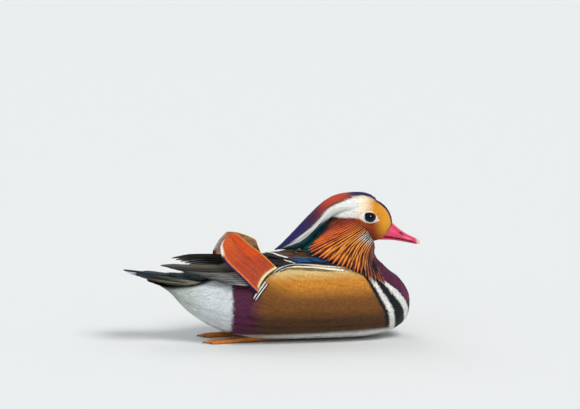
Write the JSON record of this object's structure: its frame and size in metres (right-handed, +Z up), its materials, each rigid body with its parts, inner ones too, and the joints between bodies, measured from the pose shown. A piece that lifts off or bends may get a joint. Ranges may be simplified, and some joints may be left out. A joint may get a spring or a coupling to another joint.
{
  "type": "swimming duck",
  "caption": "Life-size mandarin duck drake afloat, resting on its belly with feet tucked under, orange ruff and raised wing sails.",
  "frame": {"origin": "on the floor under the middle of the bird's length and width", "axes": "+X towards the bill, +Y the bird's left, +Z up"},
  "size_m": [0.3303, 0.1256, 0.1608],
  "materials": {
    "body_plumage": "soft",
    "head_plumage": "soft",
    "crest_plumage": "soft",
    "ruff_plumage": "soft",
    "flank_plumage": "soft",
    "wing_plumage": "soft",
    "sail_plumage": "soft",
    "tail_plumage": "soft",
    "bill": "satin",
    "eye": "gloss",
    "foot": "satin"
  },
  "bodies": {
    "root": {"torso": "body_plumage", "head": "head_plumage", "crest": "crest_plumage", "neck": "ruff_plumage", "bill_upper": "bill", "bill_lower": "bill", "tail": "tail_plumage", "eye_right": "eye", "ruff_right": "ruff_plumage", "flank_right": "flank_plumage", "wing_right": "wing_plumage", "primaries_right": "wing_plumage", "sail_right": "sail_plumage", "leg_right": "foot", "eye_left": "eye", "ruff_left": "ruff_plumage", "flank_left": "flank_plumage", "wing_left": "wing_plumage", "primaries_left": "wing_plumage", "sail_left": "sail_plumage", "leg_left": "foot"}
  },
  "joints": []
}
